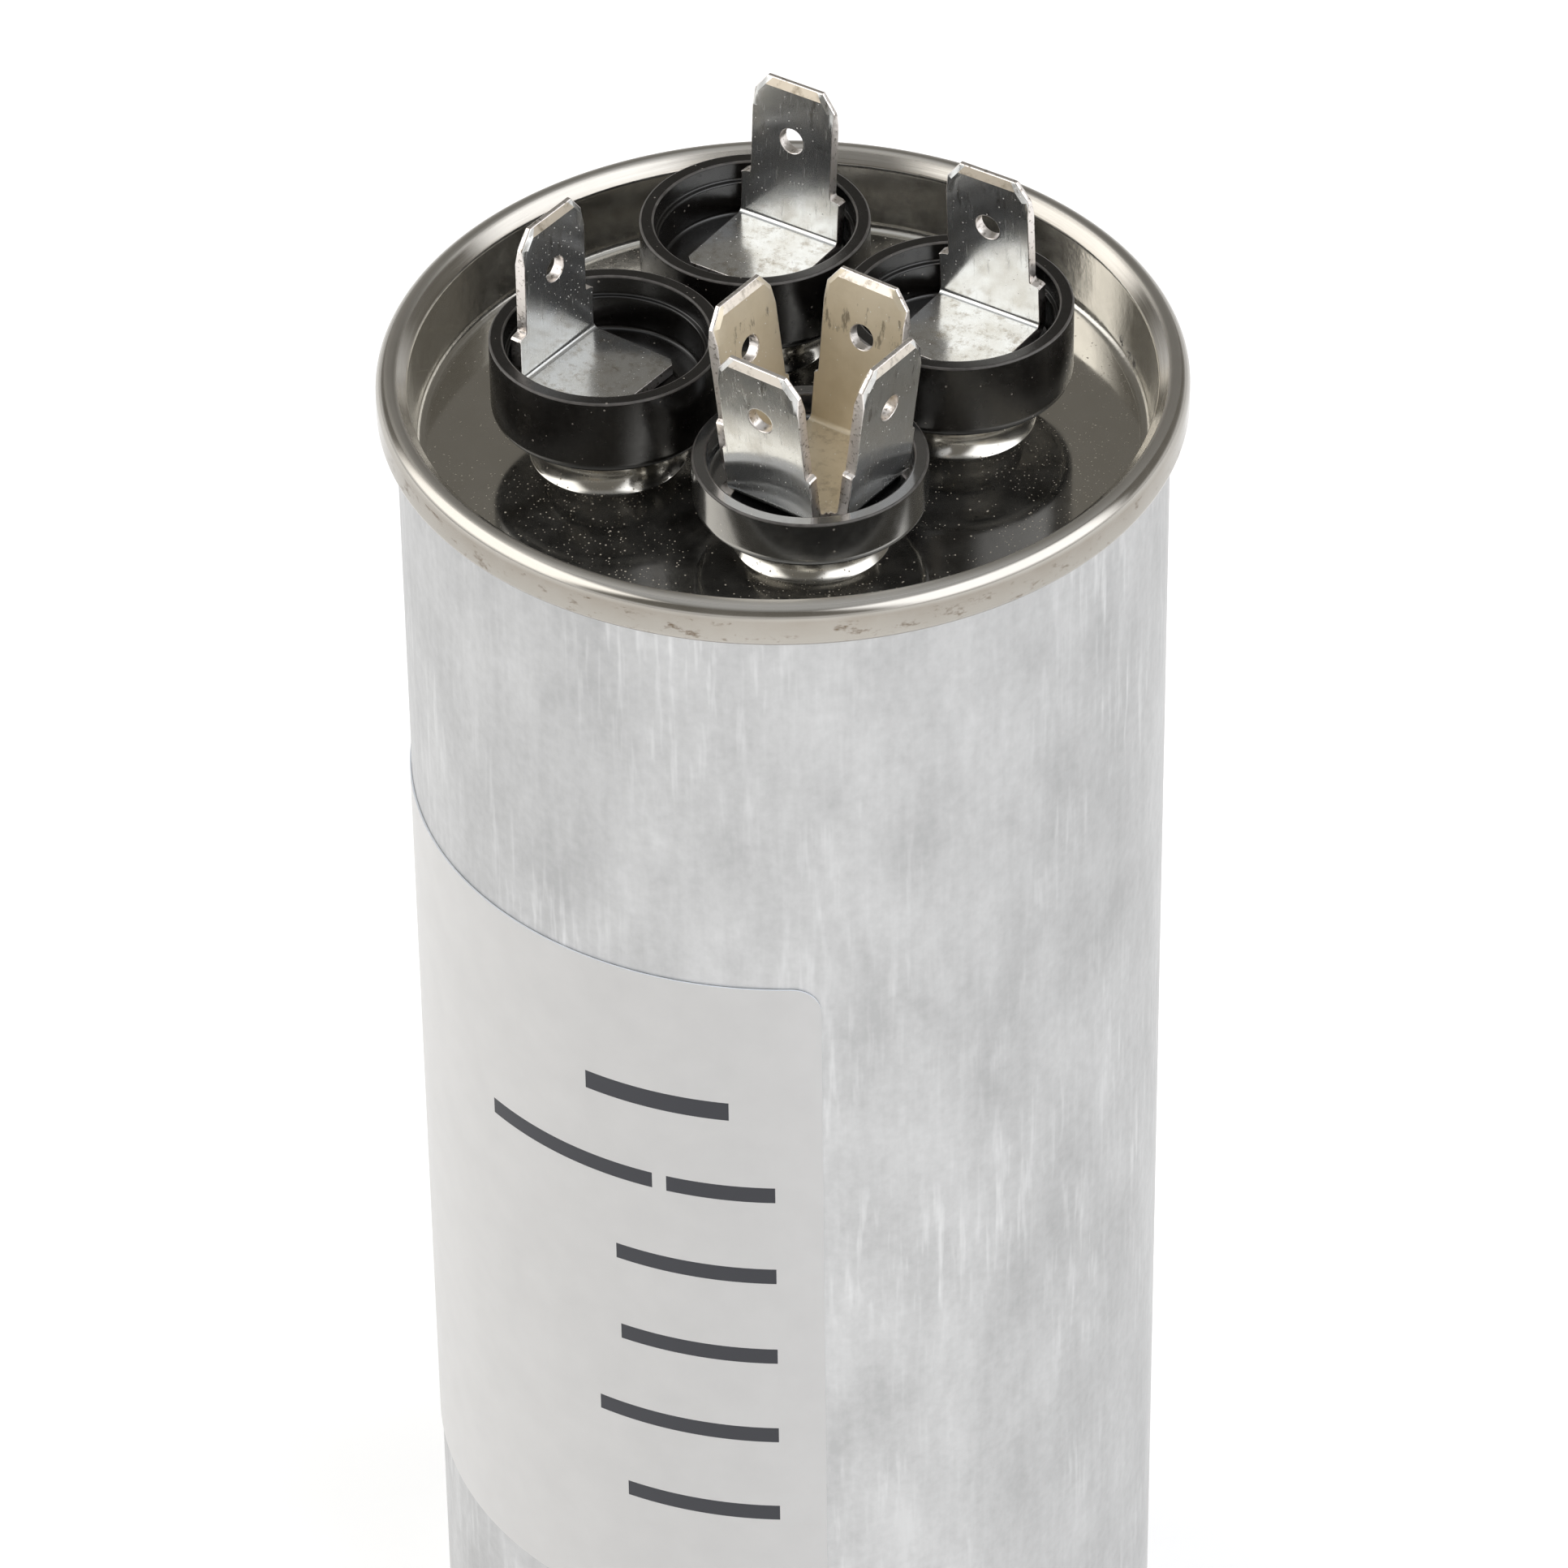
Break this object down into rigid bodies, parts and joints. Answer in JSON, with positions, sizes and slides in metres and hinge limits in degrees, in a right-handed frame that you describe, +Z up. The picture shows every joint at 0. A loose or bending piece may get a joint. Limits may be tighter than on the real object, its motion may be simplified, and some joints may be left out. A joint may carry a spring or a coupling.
{
  "type": "motor run capacitor",
  "caption": "Round metal-can motor capacitor: a double-seamed lid with a sunken panel carries quick-connect tabs in black insulating cups, over a wound film roll.",
  "frame": {"origin": "middle of the can's base, on the surface that it stands on", "axes": "+Z up along the can's axis, towards the terminals; the common terminal lies at -45 degrees from +X, seen from above"},
  "size_m": [0.0532, 0.0532, 0.1265],
  "materials": {
    "can_aluminium": "drawn, satin",
    "lid_tinplate": "bright tinplate",
    "label_film": "satin printed film",
    "cup_plastic": "moulded, semi-matt",
    "tab_tinplate": "tin-plated, punched and bent",
    "rivet_steel": "plated",
    "washer_fibre": "punched fibre",
    "lead_copper": "bare strip",
    "insulator_board": "pressboard",
    "film_roll": "metallised film",
    "core_plastic": "moulded",
    "zinc_spray": "sprayed, rough"
  },
  "bodies": {
    "root": {"can": "can_aluminium", "lid": "lid_tinplate", "label": "label_film", "cup_section_1": "cup_plastic", "cup_section_2": "cup_plastic", "cup_section_3": "cup_plastic", "cup_common": "cup_plastic", "tab_section_1": "tab_tinplate", "tab_section_2": "tab_tinplate", "tab_section_3": "tab_tinplate", "tab_common": "tab_tinplate", "rivet_section_1": "rivet_steel", "rivet_section_2": "rivet_steel", "rivet_section_3": "rivet_steel", "rivet_common": "rivet_steel", "washer_section_1": "washer_fibre", "washer_section_2": "washer_fibre", "washer_section_3": "washer_fibre", "washer_common": "washer_fibre", "lead_section_1": "lead_copper", "lead_section_2": "lead_copper", "lead_section_3": "lead_copper", "lead_common": "lead_copper", "top_insulator": "insulator_board", "base_insulator": "insulator_board", "film_winding": "film_roll", "winding_core": "core_plastic", "zinc_section_1": "zinc_spray", "zinc_section_2": "zinc_spray", "zinc_section_3": "zinc_spray", "zinc_common": "zinc_spray"}
  },
  "joints": []
}
